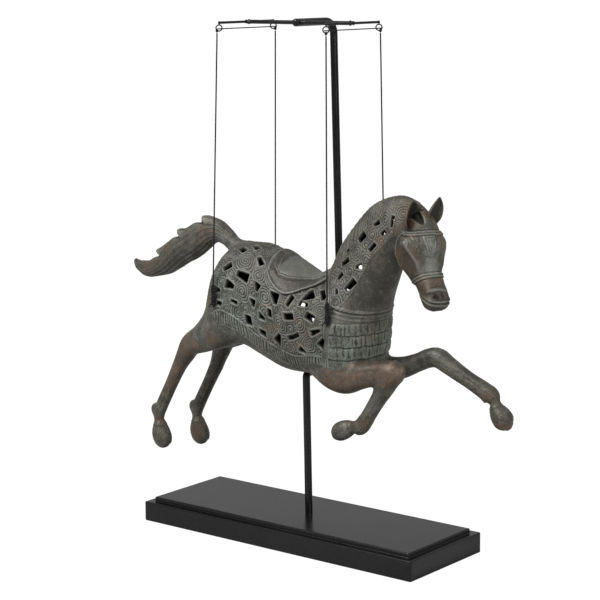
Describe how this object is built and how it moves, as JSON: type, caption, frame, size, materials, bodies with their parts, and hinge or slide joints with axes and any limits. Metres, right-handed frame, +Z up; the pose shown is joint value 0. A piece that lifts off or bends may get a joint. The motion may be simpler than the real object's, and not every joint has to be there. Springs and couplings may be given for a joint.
{
  "type": "hanging horse figurine",
  "caption": "Openwork cast horse at a gallop, hung by thin cords from a bent black rod and bars on a flat black board.",
  "frame": {"origin": "middle of the board's underside", "axes": "+X the way the horse faces, along the board; +Y the horse's left side, where the rod stands; +Z up"},
  "size_m": [0.5406, 0.14, 0.611],
  "materials": {
    "black_board": "satin black paint",
    "black_steel": "satin black",
    "black_cord": "waxed cord",
    "patinated_metal": "aged grey-green patina with brown rubbed patches"
  },
  "bodies": {
    "root": {"cord_front_left": "black_cord", "cord_front_right": "black_cord", "cord_rear_left": "black_cord", "cord_rear_right": "black_cord", "front_crossbar": "black_steel", "hitch_front_left": "black_cord", "hitch_front_right": "black_cord", "hitch_rear_left": "black_cord", "hitch_rear_right": "black_cord", "horse": "patinated_metal", "long_bar": "black_steel", "plinth": "black_board", "post": "black_steel", "rear_crossbar": "black_steel", "ring_front_left": "black_steel", "ring_front_right": "black_steel", "ring_knot_front_left": "black_cord", "ring_knot_front_right": "black_cord", "ring_knot_rear_left": "black_cord", "ring_knot_rear_right": "black_cord", "ring_rear_left": "black_steel", "ring_rear_right": "black_steel", "tie_front": "black_cord", "tie_rear": "black_cord"}
  },
  "joints": []
}
